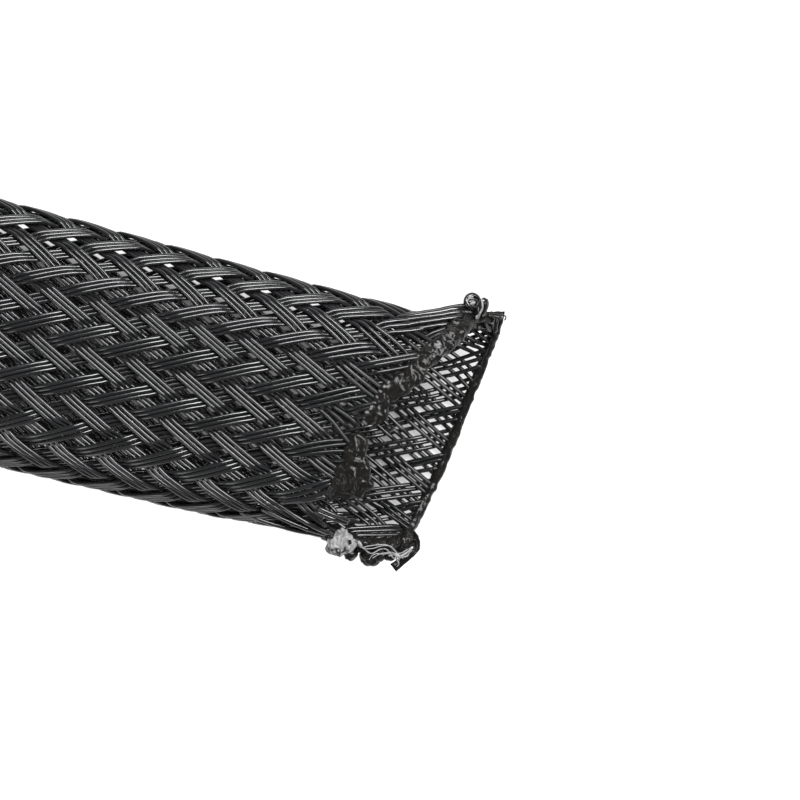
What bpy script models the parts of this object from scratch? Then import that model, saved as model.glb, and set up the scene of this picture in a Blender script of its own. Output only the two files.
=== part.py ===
"""One foot of expandable braided cable sleeve, black polyester, with both ends cut hot.

The sleeve lies along X on its flat underside, with the ragged, melted mouth at +X and a plain
sealed cut at -X. The origin is on the floor, under the middle of its length and of its width.
The braid is one piece of stock, so it is one solid here: a thin wall with an open bore and a
plain grid of diamond windows, for the gaps between the crossing strands.
"""

import math

import bmesh
import bpy
from mathutils import Vector

# The stock, in metres
SLEEVE_LENGTH = 0.305
BODY_WIDTH = 0.0129
MOUTH_WIDTH = 0.0123
SLEEVE_HEIGHT = 0.0064
REST_STRIP_WIDTH = 0.0030
FILAMENT_DIAMETER = 0.00022
CROSSING_CLEARANCE = 0.00005

# The narrowing towards the mouth, measured back from the tip, and the mouth's shift to +Y
TAPER_START = 0.030
TAPER_END = 0.006
MOUTH_SHIFT = 0.00015

# The windows in the wall: how many lie in a row, and how far from each end the rows start
WINDOWS_ALONG = 12
WINDOW_LENGTH = 0.020
WINDOW_MARGIN = 0.0125

# The ragged cut: how far each part of the mouth stops short of the tip
UPPER_CUT_AT_PLUS_Y = 0.0020
UPPER_CUT_AT_MIDDLE = 0.0045
LOWER_CUT_AT_MINUS_Y = 0.0019
LOWER_CUT_AT_PLUS_Y = 0.0
MOUTH_ZONE = 0.012

# The two splits in the upper wall: across, how deep, and how wide
SPLIT_PLACES = (-0.0003, -0.0044)
SPLIT_DEPTHS = (0.0024, 0.0018)
SPLIT_WIDTH = 0.0009

# The corner at +Y that is pulled outwards
FLARE_LENGTH = 0.0050
FLARE_OUT = 0.0009
FLARE_SPREAD = 0.0040

# How far the melted edges stand proud of the wall, and the lumps on the mouth's edge
MOUTH_BEAD_PROUD = 0.00015
MOUTH_BEAD_SWELL = 0.00008
MOUTH_BEAD_WAVES = (5, 11)
PLAIN_BEAD_PROUD = 0.00007
LUMPS = (
    # across, upper or lower wall, growth of the bead, reach round the lump
    (0.0056, "upper", 0.00022, 0.0010),
    (0.0014, "upper", 0.00016, 0.0012),
    (-0.0026, "upper", 0.00036, 0.0011),
    (-0.0058, "upper", 0.00038, 0.0010),
    (-0.0052, "lower", 0.00020, 0.0009),
)

# How finely the faces follow the shape
ARC_STEPS = 20
STRIP_STEPS = 4
STEPS_PER_WINDOW_ROW = 4
MOUTH_STATIONS = 7
MOUTH_BEAD_STEPS = 6
PLAIN_BEAD_STEPS = 4

# Worked out from the sizes above
WALL = 2.0 * FILAMENT_DIAMETER + CROSSING_CLEARANCE
MOUTH_BEAD_RADIUS = WALL / 2.0 + MOUTH_BEAD_PROUD
PLAIN_BEAD_RADIUS = WALL / 2.0 + PLAIN_BEAD_PROUD
TIP_X = SLEEVE_LENGTH / 2.0
PLAIN_END_X = -SLEEVE_LENGTH / 2.0
MID_HALF_HEIGHT = (SLEEVE_HEIGHT - WALL) / 2.0
MID_HEIGHT = SLEEVE_HEIGHT / 2.0
BLACK_POLYESTER = (0.012, 0.012, 0.013, 1.0)


def smooth_step(value, start, end):
    """Rises from 0 at start to 1 at end, level at both."""
    share = min(max((value - start) / (end - start), 0.0), 1.0)
    return share * share * (3.0 - 2.0 * share)


def narrowed(x):
    """How far the sleeve has narrowed at x, from 0 along the body to 1 at the mouth."""
    return smooth_step(x, TIP_X - TAPER_START, TIP_X - TAPER_END)


def mid_half_width(x):
    """Half the width of the wall's middle surface, which narrows towards the mouth."""
    width = BODY_WIDTH + (MOUTH_WIDTH - BODY_WIDTH) * narrowed(x)
    return (width - WALL) / 2.0


def outline():
    """Steps round the section: (side of the strip, angle, shift along the strip) for each point.

    Two half-ellipses stand either side of a flat strip, on top and underneath.
    """
    steps = []
    for side, first_angle in ((1.0, -0.5 * math.pi), (-1.0, 0.5 * math.pi)):
        for k in range(ARC_STEPS + 1):
            steps.append((side, first_angle + math.pi * k / ARC_STEPS, 0.0))
        for k in range(1, STRIP_STEPS):
            steps.append((side, first_angle + math.pi, k / STRIP_STEPS))
    return steps


def section_point(step, x):
    """Across and up, from the sleeve's axis, of one outline point at x."""
    side, angle, along_strip = step
    reach = mid_half_width(x) - REST_STRIP_WIDTH / 2.0
    strip = REST_STRIP_WIDTH * (0.5 - along_strip)
    return side * strip + reach * math.cos(angle), MID_HALF_HEIGHT * math.sin(angle)


def upper_cut(across):
    """How far short of the tip the upper wall stops, with its two splits."""
    half = mid_half_width(TIP_X)
    slant = smooth_step(across, 0.0, half)
    cut = UPPER_CUT_AT_MIDDLE + (UPPER_CUT_AT_PLUS_Y - UPPER_CUT_AT_MIDDLE) * slant
    for place, depth in zip(SPLIT_PLACES, SPLIT_DEPTHS):
        cut += depth * math.exp(-(((across - place) / (SPLIT_WIDTH / 2.0)) ** 2))
    return cut


def lower_cut(across):
    """How far short of the tip the lower wall stops: a straight, slightly skewed cut."""
    half = mid_half_width(TIP_X)
    share = (across / half + 1.0) / 2.0
    return LOWER_CUT_AT_MINUS_Y + (LOWER_CUT_AT_PLUS_Y - LOWER_CUT_AT_MINUS_Y) * share


def rim_x(step):
    """Where the wall ends at the mouth, at one outline point."""
    across, up = section_point(step, TIP_X)
    upper_share = smooth_step(up / MID_HALF_HEIGHT, -0.6, 0.8)
    cut = lower_cut(across) * (1.0 - upper_share) + upper_cut(across) * upper_share
    return TIP_X - cut


def section_normal(step, x):
    """The way out of the wall, across and up, at one outline point."""
    _, angle, _ = step
    reach = mid_half_width(x) - REST_STRIP_WIDTH / 2.0
    out = Vector((MID_HALF_HEIGHT * math.cos(angle), reach * math.sin(angle)))
    return out.normalized()


def wall_point(step, x, offset=0.0):
    """A point at x and at a distance outwards from the wall's middle surface.

    The mouth stands a little to +Y of the body, its corner there is pulled outwards towards
    the tip, and nothing reaches under the floor.
    """
    across, up = section_point(step, x)
    out = section_normal(step, x) * offset
    half = mid_half_width(x)
    pull = smooth_step(x, TIP_X - FLARE_LENGTH, TIP_X)
    corner = smooth_step(across, half - FLARE_SPREAD, half)
    y = across + out.x + MOUTH_SHIFT * narrowed(x) + FLARE_OUT * pull * corner
    return Vector((x, y, max(MID_HEIGHT + up + out.y, 0.0)))


def window_middles():
    """The x of each window's middle in a row, evenly spaced between the two margins."""
    pitch = (SLEEVE_LENGTH - 2.0 * WINDOW_MARGIN) / WINDOWS_ALONG
    first = PLAIN_END_X + WINDOW_MARGIN + pitch / 2.0
    return [first + pitch * k for k in range(WINDOWS_ALONG)]


def ring_places(step):
    """The x of each ring along one outline point, from the plain end to the ragged rim.

    Each window has a ring at its start, its middle and its end.
    """
    zone = TIP_X - MOUTH_ZONE
    end = rim_x(step) - 2.0 * mouth_bead_radius(step)
    places = [PLAIN_END_X + 2.0 * PLAIN_BEAD_RADIUS]
    for middle in window_middles():
        places += [middle - WINDOW_LENGTH / 2.0, middle, middle + WINDOW_LENGTH / 2.0]
    places += [zone + (end - zone) * k / MOUTH_STATIONS for k in range(MOUTH_STATIONS + 1)]
    return places


def rim_spot(across, wall_name):
    """The point of the mouth's rim on the named wall that lies nearest to across."""
    spots = [wall_point(s, rim_x(s)) for s in outline()]
    wanted = [p for p in spots if (p.z > MID_HEIGHT) == (wall_name == "upper")]
    return min(wanted, key=lambda p: abs(p.y - across))


LUMP_SPOTS = [
    (rim_spot(across, wall_name), growth, reach) for across, wall_name, growth, reach in LUMPS
]


def mouth_bead_radius(step):
    """The melted edge's radius at one outline point, with its swells and lumps."""
    across, up = section_point(step, TIP_X)
    turn = math.atan2(up, across)
    swell = sum(math.sin(waves * turn) for waves in MOUTH_BEAD_WAVES) / len(MOUTH_BEAD_WAVES)
    radius = MOUTH_BEAD_RADIUS + MOUTH_BEAD_SWELL * swell
    here = wall_point(step, rim_x(step))
    for spot, growth, reach in LUMP_SPOTS:
        radius += growth * math.exp(-(((here - spot).length / reach) ** 2))
    return radius


def bead_profile(end_x, radius, steps, outwards):
    """Points of a round edge, x and offset, from one face of the wall round to the other.

    The edge faces along outwards, +1 or -1, and meets faces that stand half a wall out.
    """
    meet = math.asin(WALL / 2.0 / radius)
    centre = end_x - outwards * radius
    profile = []
    for k in range(steps + 1):
        angle = (math.pi - meet) * (2.0 * k / steps - 1.0)
        x = centre + outwards * radius * math.cos(angle)
        profile.append((x, outwards * radius * math.sin(angle)))
    return profile


def wall_profile(step):
    """The closed loop of (x, offset) round the wall's thickness, along one outline point."""
    places = ring_places(step)
    inside = [(x, -WALL / 2.0) for x in places]
    outside = [(x, WALL / 2.0) for x in reversed(places)]
    mouth = bead_profile(rim_x(step), mouth_bead_radius(step), MOUTH_BEAD_STEPS, 1.0)
    plain = bead_profile(PLAIN_END_X, PLAIN_BEAD_RADIUS, PLAIN_BEAD_STEPS, -1.0)
    return inside + mouth + outside + plain


def black_polyester():
    """The one material: glossy black monofilament."""
    material = bpy.data.materials.new("black_polyester")
    material.use_nodes = True
    shader = material.node_tree.nodes["Principled BSDF"]
    shader.inputs["Base Color"].default_value = BLACK_POLYESTER
    shader.inputs["Roughness"].default_value = 0.3
    shader.inputs["Metallic"].default_value = 0.0
    return material


def window_corners(loops, row, middle):
    """A window's four corners and its middle, on the profile's point number middle."""
    here = loops[row]
    beyond = loops[(row + 1) % len(loops)]
    corners = (here[middle - 1], beyond[middle], here[middle + 1], loops[row - 1][middle])
    return corners, here[middle]


def line_windows(shape, loops):
    """Joins the wall's two faces round every window, and returns the windows' middle points."""
    stations = 1 + 3 * WINDOWS_ALONG + MOUTH_STATIONS + 1
    last_outside = 2 * stations + MOUTH_BEAD_STEPS
    middles = []
    for row in range(STEPS_PER_WINDOW_ROW // 2, len(loops), STEPS_PER_WINDOW_ROW):
        for k in range(WINDOWS_ALONG):
            station = 3 * k + 2
            inner, inner_middle = window_corners(loops, row, station)
            outer, outer_middle = window_corners(loops, row, last_outside - station)
            outer = (outer[2], outer[1], outer[0], outer[3])
            for side in range(4):
                ahead = (side + 1) % 4
                shape.faces.new((inner[side], inner[ahead], outer[ahead], outer[side]))
            middles += [inner_middle, outer_middle]
    return middles


def make_sleeve(collection):
    """The braid as one thin-walled body: a closed profile lofted round the flat outline.

    Every face of the wall that touches a window's middle loses that corner, and the middle is
    then taken away, so four faces that met there leave a diamond open.
    """
    mesh = bpy.data.meshes.new("braided_sleeve")
    shape = bmesh.new()
    loops = [
        [shape.verts.new(wall_point(step, x, offset)) for x, offset in wall_profile(step)]
        for step in outline()
    ]
    middles = line_windows(shape, loops)
    open_points = set(middles)
    for loop, following in zip(loops, loops[1:] + loops[:1]):
        for k in range(len(loop)):
            ahead = (k + 1) % len(loop)
            corners = (loop[k], following[k], following[ahead], loop[ahead])
            shape.faces.new([corner for corner in corners if corner not in open_points])
    bmesh.ops.delete(shape, geom=middles, context="VERTS")
    bmesh.ops.recalc_face_normals(shape, faces=shape.faces)
    shape.to_mesh(mesh)
    shape.free()
    sleeve = bpy.data.objects.new("braided_sleeve", mesh)
    collection.objects.link(sleeve)
    return sleeve


def main():
    for old in list(bpy.data.objects):
        bpy.data.objects.remove(old)
    parts = bpy.data.collections.new("braided_cable_sleeve")
    bpy.context.scene.collection.children.link(parts)
    sleeve = make_sleeve(parts)
    sleeve.data.materials.append(black_polyester())
    sleeve.data.shade_smooth()


main()
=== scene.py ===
"""The looks of one foot of expandable braided cable sleeve in glossy black polyester.

Lengths are in millimetres, and become metres only where a mesh, light or camera is written.
Four words give a place on the sleeve. "x" runs along it, to the ragged mouth at +X, and
"short" is the distance back from the mouth's farthest point. "around" is the distance round
the wall's middle surface from its top line, positive towards +Y, and "out" is the distance
outwards from that surface. Every shape is worked out with numpy as whole arrays of those.
"""

from __future__ import annotations

import itertools
import logging
import math
from dataclasses import dataclass, field
from enum import Enum

import bpy
import numpy as np
from mathutils import Matrix, Vector


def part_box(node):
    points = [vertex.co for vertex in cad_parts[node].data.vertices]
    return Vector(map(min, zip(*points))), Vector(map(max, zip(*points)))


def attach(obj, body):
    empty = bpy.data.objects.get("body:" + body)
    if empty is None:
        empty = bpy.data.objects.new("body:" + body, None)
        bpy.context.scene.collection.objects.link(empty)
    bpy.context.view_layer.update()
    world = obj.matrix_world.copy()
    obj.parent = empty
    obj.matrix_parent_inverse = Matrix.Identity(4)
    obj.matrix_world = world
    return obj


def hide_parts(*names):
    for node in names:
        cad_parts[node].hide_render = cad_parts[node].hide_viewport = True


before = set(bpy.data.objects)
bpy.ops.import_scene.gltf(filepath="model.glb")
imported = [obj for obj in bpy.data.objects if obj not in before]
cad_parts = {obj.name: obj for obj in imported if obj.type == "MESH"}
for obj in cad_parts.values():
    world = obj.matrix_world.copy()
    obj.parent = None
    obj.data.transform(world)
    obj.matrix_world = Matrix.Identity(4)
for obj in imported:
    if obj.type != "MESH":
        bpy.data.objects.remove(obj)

LOG = logging.getLogger("braided_sleeve")
MM = 0.001
NODE = "braided_sleeve"
BODY = "root"
Array = np.ndarray
Pair = tuple[float, float]
Triple = tuple[float, float, float]
Spots = tuple[tuple[float, ...], ...]
Colour = Triple
Socket = bpy.types.NodeSocket
Material = bpy.types.Material
# After how many cells the noise repeats, and how finely a curve is worked out per point.
NOISE_REPEAT = 32
CURVE_STEPS = 40
# What is left of a tube's width at a closed end, and how far apart tubes lie on the map.
CLOSED_SHARE = 0.02
MAP_GAP = 7.0


class Winding(Enum):
    """Which way a carrier winds as it runs towards the mouth, seen from above."""

    FALLING = -1.0
    RISING = 1.0

    def seed(self, first: int) -> int:
        """A seed of its own: the falling winding takes the first, and the rising one the next."""
        return first + (self is Winding.RISING)


class Maths(Enum):
    """What a maths node works out."""

    PRODUCT = "MULTIPLY"
    TOTAL = "ADD"
    LARGER = "MAXIMUM"
    SIZE = "ABSOLUTE"


# Working out shapes


def smooth_step(value: Array, start: float, end: float) -> Array:
    """Rises from 0 at start to 1 at end, level at both.

    Args:
        value: where to read the step.
        start: where it leaves 0.
        end: where it reaches 1.

    Returns:
        Three times the square of the share less twice its cube, the share clipped to 0 to 1.
    """
    share = np.clip((np.asarray(value, float) - start) / (end - start), 0.0, 1.0)
    return share * share * (3.0 - 2.0 * share)


def value_noise(points: Array, cell: float, seed: int) -> Array:
    """Smooth noise from -1 to 1 at points in space.

    Random values stand at the corners of a cubic grid that repeats. Each point blends the
    eight values round it, with an eased share along each axis.

    Args:
        points: places, (..., 3).
        cell: the grid's spacing, in the same units.
        seed: which set of random values.

    Returns:
        The noise, (...).
    """
    lattice = np.random.default_rng(seed).uniform(-1.0, 1.0, (NOISE_REPEAT,) * 3)
    place = np.asarray(points, float) / cell
    base = np.floor(place).astype(int)
    share = smooth_step(place - base, 0.0, 1.0)
    total = np.zeros(place.shape[:-1])
    for corner in np.ndindex(2, 2, 2):
        index = (base + np.array(corner)) % NOISE_REPEAT
        weight = np.where(np.array(corner) == 1, share, 1.0 - share).prod(axis=-1)
        total += weight * lattice[index[..., 0], index[..., 1], index[..., 2]]
    return total


@dataclass(frozen=True)
class Noise:
    """Smooth noise of a given strength, size of cell and seed."""

    strength: float
    cell: float
    seed: int = 0

    def at(self, points: Array, seed: int = 0) -> Array:
        """The noise at points in space, with a further seed added to its own."""
        return self.strength * value_noise(points, self.cell, self.seed + seed)


def upwards(points: Array) -> Array:
    """The way up at each point."""
    return np.broadcast_to(np.array([0.0, 0.0, 1.0]), points.shape)


def unit(vectors: Array) -> Array:
    """The vectors at length 1."""
    return vectors / np.maximum(np.linalg.norm(vectors, axis=-1, keepdims=True), 1e-12)


def curve_through(points: Array, count: int) -> Array:
    """A smooth curve through chosen points, evenly spaced along its length.

    Each stretch is the cubic whose slope at a point is half the step between its neighbours.

    Args:
        points: the points, (n, k), whose first columns are the place.
        count: how many places to return.

    Returns:
        The places, (count, k).
    """
    points = np.asarray(points, float)
    padded = np.vstack([2 * points[0] - points[1], points, 2 * points[-1] - points[-2]])
    where = np.linspace(0.0, len(points) - 1.0, CURVE_STEPS * len(points))
    low = np.clip(where.astype(int), 0, len(points) - 2)
    t = (where - low)[:, None]
    a, b, c, d = (padded[low + k] for k in range(4))
    square = (2 * a - 5 * b + 4 * c - d) * t**2
    cube = (3 * b - a - 3 * c + d) * t**3
    fine = 0.5 * (2 * b + (c - a) * t + square + cube)
    steps = np.linalg.norm(np.diff(fine[:, : min(3, fine.shape[1])], axis=0), axis=1)
    run = np.concatenate([[0.0], np.cumsum(steps)])
    wanted = np.linspace(0.0, run[-1], count)
    return np.stack([np.interp(wanted, run, fine[:, k]) for k in range(fine.shape[1])], axis=1)


def rounded_ends(count: int, share: float) -> Array:
    """Factors along a path that close a tube's ends.

    Each end is a quarter circle: the root of one less the square of what is left of the share,
    with a little width kept.

    Args:
        count: how many places the path has.
        share: how much of the path each end takes.

    Returns:
        The factors, (count,).
    """
    place = np.linspace(0.0, 1.0, count)
    near = np.clip(np.minimum(place, 1.0 - place) / share, 0.0, 1.0)
    return np.sqrt(np.maximum(1.0 - (1.0 - near) ** 2, CLOSED_SHARE**2))


@dataclass
class TubeGrid:
    """Tubes side by side as one grid: points[tube, ring, side], in millimetres.

    Each tube is closed round its sides. Its ends have flat caps, or are joined in a loop.
    "along" is the distance along each tube, and "strand" a number from 0 to 1 for each. "white"
    is how far a point of melted plastic is scuffed white, from 0 to 1, or, below 0 and down to -1,
    how far painted shade darkens it in a crease. On a monofilament it is how far heat has dulled
    it.
    """

    points: Array
    along: Array
    strand: Array
    looped: bool = False
    white: Array | None = None

    def faces(self) -> tuple[Array, Array]:
        """The corner lists of the grid's faces.

        Returns:
            The quads, (n, 4), and the end caps, (2 * tubes or 0, sides).
        """
        tubes, rings, sides = self.points.shape[:3]
        index = np.arange(tubes * rings * sides).reshape(tubes, rings, sides)
        caps = np.concatenate([index[:, 0, ::-1], index[:, -1, :]])
        if self.looped:
            index = np.concatenate([index, index[:, :1]], axis=1)
            caps = caps[:0]
        beside = np.roll(index, -1, axis=2)
        quads = np.stack([index[:, :-1], beside[:, :-1], beside[:, 1:], index[:, 1:]], axis=-1)
        return quads.reshape(-1, 4), caps

    def texture_map(self) -> Array:
        """The map's (u, v) at each face corner: u runs along a tube, v round it.

        Returns:
            The places on the map, (corners, 2), in the order of the faces.
        """
        sides = self.points.shape[2]
        shape = self.along.shape + (sides + 1,)
        u = np.broadcast_to(self.along[:, :, None], shape)
        v = (np.arange(sides + 1) / sides)[None, None, :] + self.strand[:, None, None] * MAP_GAP
        both = np.stack([u, np.broadcast_to(v, shape)], axis=-1)
        corners = [both[:, :-1, :-1], both[:, :-1, 1:], both[:, 1:, 1:], both[:, 1:, :-1]]
        quads = np.stack(corners, axis=-2).reshape(-1, 2)
        caps = np.concatenate([both[:, 0, :-1], both[:, -1, :-1]]).reshape(-1, 2)
        return quads if self.looped else np.concatenate([quads, caps])


def write_mesh(name: str, grids: list[TubeGrid], material: Material) -> None:
    """Puts grids of tubes into one mesh object, which rides on the body in its solid's place.

    Args:
        name: the object's name.
        grids: the tubes.
        material: what they are made of.
    """
    corners, counts, first = [], [], 0
    for grid in grids:
        quads, caps = grid.faces()
        corners += [quads.ravel() + first, caps.ravel() + first]
        counts += [np.full(len(quads), 4), np.full(len(caps), grid.points.shape[2])]
        first += grid.points[..., 0].size
    corners, counts = np.concatenate(corners), np.concatenate(counts)
    points = np.concatenate([grid.points.reshape(-1, 3) for grid in grids]) * MM
    mesh = bpy.data.meshes.new(name)
    mesh.vertices.add(len(points))
    mesh.vertices.foreach_set("co", points.astype(np.float32).ravel())
    mesh.loops.add(len(corners))
    mesh.loops.foreach_set("vertex_index", corners.astype(np.int32))
    mesh.polygons.add(len(counts))
    mesh.polygons.foreach_set("loop_start", (np.cumsum(counts) - counts).astype(np.int32))
    mesh.update(calc_edges=True)
    uv = mesh.uv_layers.new(name="along_and_round")
    places = np.concatenate([grid.texture_map() for grid in grids])
    uv.data.foreach_set("uv", places.astype(np.float32).ravel())
    strand = [np.repeat(grid.strand, grid.points[0, ..., 0].size) for grid in grids]
    white = [np.zeros(g.points[..., 0].size) if g.white is None else g.white.ravel() for g in grids]
    for label, values in (("strand", strand), ("white", white)):
        attribute = mesh.attributes.new(label, "FLOAT", "POINT")
        attribute.data.foreach_set("value", np.concatenate(values).astype(np.float32))
    mesh.validate()
    mesh.shade_smooth()
    mesh.materials.append(material)
    piece = bpy.data.objects.new(name, mesh)
    bpy.context.scene.collection.objects.link(piece)
    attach(piece, BODY)
    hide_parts(NODE)
    LOG.info("%s: %d faces", name, len(mesh.polygons))


def sweep(
    centres: Array,
    outwards: Array,
    thick: Array,
    wide: Array,
    sides: int,
    strand: Array,
    looped: bool = False,
    squareness: float = 2.0,
) -> tuple[TubeGrid, Array]:
    """Carries an ellipse along each centre line.

    The ellipse stands square to the line. A point on it is the centre, plus the half-thickness
    times the cosine of the turn outwards, plus the half-width times its sine sideways. With a
    squareness above 2 both are divided by the root of their summed powers, which fills out the
    corners.

    Args:
        centres: the lines, (tubes, rings, 3).
        outwards: a way out at each place, (tubes, rings, 3).
        thick: half the thickness at each place, (tubes, rings).
        wide: half the width at each place, (tubes, rings).
        sides: how many sides a tube has.
        strand: one number from 0 to 1 for each tube.
        looped: whether each line joins its own start.
        squareness: the power that shapes the ellipse, 2 for a true one.

    Returns:
        The tubes, and the unit way out of the ellipse at each point.
    """
    if looped:
        joined = np.concatenate([centres[:, -1:], centres, centres[:, :1]], axis=1)
        ahead = unit(joined[:, 2:] - joined[:, :-2])
        steps = np.linalg.norm(np.diff(joined[:, 1:], axis=1), axis=-1)
    else:
        ahead = unit(np.gradient(centres, axis=1))
        steps = np.linalg.norm(np.diff(centres, axis=1), axis=-1)
    out = unit(outwards - ahead * (outwards * ahead).sum(-1, keepdims=True))
    beside = np.cross(ahead, out)[:, :, None]
    out = out[:, :, None]
    turn = 2.0 * np.pi * np.arange(sides) / sides
    cosine, sine = np.cos(turn)[:, None], np.sin(turn)[:, None]
    full = (np.abs(cosine) ** squareness + np.abs(sine) ** squareness) ** (-1.0 / squareness)
    cosine, sine = cosine * full, sine * full
    flat, tall = wide[:, :, None, None], thick[:, :, None, None]
    points = centres[:, :, None] + out * cosine * tall + beside * sine * flat
    normals = unit(out * cosine * flat + beside * sine * tall)
    along = np.concatenate([np.zeros((len(centres), 1)), np.cumsum(steps, axis=1)], axis=1)
    return TubeGrid(points, along, strand, looped), normals


# The wall's form and its ragged edge


@dataclass(frozen=True)
class WallForm:
    """The middle surface of the sleeve's wall, as the solid part has it.

    The section is two half-ellipses either side of a flat strip. It narrows towards the mouth,
    where the corner at +Y is pulled outwards. Places listed in pairs or fours are where a form
    starts and where it is full.
    """

    half_length: float
    body_width: float = 12.9
    mouth_width: float = 12.3
    height: float = 6.4
    strip: float = 3.0
    monofilament: float = 0.22
    clearance: float = 0.05
    taper_start: float = 30.0
    taper_end: float = 6.0
    mouth_shift: float = 0.15
    flare_length: float = 5.0
    flare_out: float = 0.9
    flare_from: float = 1.0 / 3.0
    shoulder_lead: float = 0.4
    shoulder_across: Pair = (3.2, 5.2)
    shoulder_up: Pair = (2.0, 4.0)
    side_bulge: float = 0.32
    bulge_from: float = 0.35
    bulge_reach: tuple[float, float, float, float] = (60.0, 35.0, 14.0, 6.0)
    table_steps: int = 4000
    strip_steps: int = 100
    search_steps: int = 800

    @property
    def wall(self) -> float:
        """Two crossing monofilaments and the play between them."""
        return 2.0 * self.monofilament + self.clearance

    @property
    def half_height(self) -> float:
        """Half the height of the middle surface."""
        return 0.5 * (self.height - self.wall)

    def narrowed(self, x: Array) -> Array:
        """How far the sleeve has narrowed at x, from 0 along the body to 1 at the mouth."""
        start = self.half_length - self.taper_start
        return smooth_step(x, start, self.half_length - self.taper_end)

    def half_width(self, x: Array) -> Array:
        """Half the width of the middle surface at x."""
        width = self.body_width + (self.mouth_width - self.body_width) * self.narrowed(x)
        return 0.5 * (width - self.wall)

    def bulged(self, x: Array) -> Array:
        """How far the side at -Y bulges at x: it grows, stays, and is gone at the mouth."""
        first, full, fading, gone = (self.half_length - short for short in self.bulge_reach)
        return self.side_bulge * (smooth_step(x, first, full) - smooth_step(x, fading, gone))

    def section(self) -> tuple[Array, Array, Array]:
        """Walks once round the body's section, from the top line towards +Y.

        Returns:
            The distance walked, the shift of the ellipse's centre along the strip, and the
            ellipse's angle, which falls from 90 to -270 degrees.
        """
        half, steps, few = 0.5 * self.strip, self.table_steps, self.strip_steps
        fall = np.linspace(0.0, 180.0, steps)
        under, ends = np.full(2 * few, -90.0), np.full(few, 90.0)
        angle = np.radians(np.concatenate([ends, 90.0 - fall, under, -90.0 - fall, ends - 360.0]))
        to_edge = np.linspace(0.0, half, few)
        back = np.linspace(half, -half, 2 * few)
        level = np.full(steps, half)
        shift = np.concatenate([to_edge, level, back, -level, to_edge - half])
        reach = 0.5 * (self.body_width - self.wall) - half
        y, z = shift + reach * np.cos(angle), self.half_height * np.sin(angle)
        walked = np.concatenate([[0.0], np.cumsum(np.hypot(np.diff(y), np.diff(z)))])
        return walked, shift, angle

    @property
    def girth(self) -> float:
        """The length of the middle surface's section."""
        return float(self.section()[0][-1])

    def signed(self, around: Array) -> Array:
        """The same place round the section, as a distance from minus to plus half the girth."""
        girth = self.girth
        return np.mod(np.asarray(around, float) + 0.5 * girth, girth) - 0.5 * girth

    def place(self, x: Array, around: Array, out: Array) -> tuple[Array, Array]:
        """Places on the wall and the ways out there.

        Across the sleeve, a place is its ellipse's centre on the strip, plus the reach times
        the cosine of its angle. Its height is half the sleeve's, plus the half-height times
        the sine. The distance out is added along the ellipse's normal. Then the shift of the
        mouth, the pulled corner and the bulge move it sideways, and the shoulder at +Y leads
        along the sleeve.

        Args:
            x: along the sleeve.
            around: the distance round the body's section.
            out: outwards from the middle surface.

        Returns:
            The points and the unit ways out, each (..., 3).
        """
        walked, shifts, angles = self.section()
        round_once = np.mod(around, walked[-1])
        shift = np.interp(round_once, walked, shifts)
        angle = np.interp(round_once, walked, angles)
        half = self.half_width(x)
        reach = half - 0.5 * self.strip
        normal = unit(np.stack([self.half_height * np.cos(angle), reach * np.sin(angle)], axis=-1))
        across = shift + reach * np.cos(angle)
        pull = smooth_step(x, self.half_length - self.flare_length, self.half_length)
        corner = smooth_step(across / half, self.flare_from, 1.0)
        moved = self.mouth_shift * self.narrowed(x) + self.flare_out * pull * corner
        moved = moved - self.bulged(x) * smooth_step(-across / half, self.bulge_from, 1.0)
        y = across + normal[..., 0] * out + moved
        z = 0.5 * self.height + self.half_height * np.sin(angle) + normal[..., 1] * out
        shoulder = smooth_step(across, *self.shoulder_across) * smooth_step(z, *self.shoulder_up)
        point = np.stack([x + self.shoulder_lead * shoulder * (1.0 - pull), y, z], axis=-1)
        way_out = np.concatenate([np.zeros(normal.shape[:-1] + (1,)), normal], axis=-1)
        return point, way_out

    def around_at(self, short: float, y: float) -> float:
        """The distance around at which the upper wall lies at this y.

        Args:
            short: the distance back from the tip.
            y: across the sleeve.

        Returns:
            The distance around, clipped to the wall's widest places.
        """
        around = 0.25 * self.girth * np.linspace(-1.0, 1.0, self.search_steps)
        x = np.full(around.shape, self.half_length - short)
        points, _ = self.place(x, around, np.zeros(around.shape))
        return float(np.interp(y, points[:, 1], around))


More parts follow.
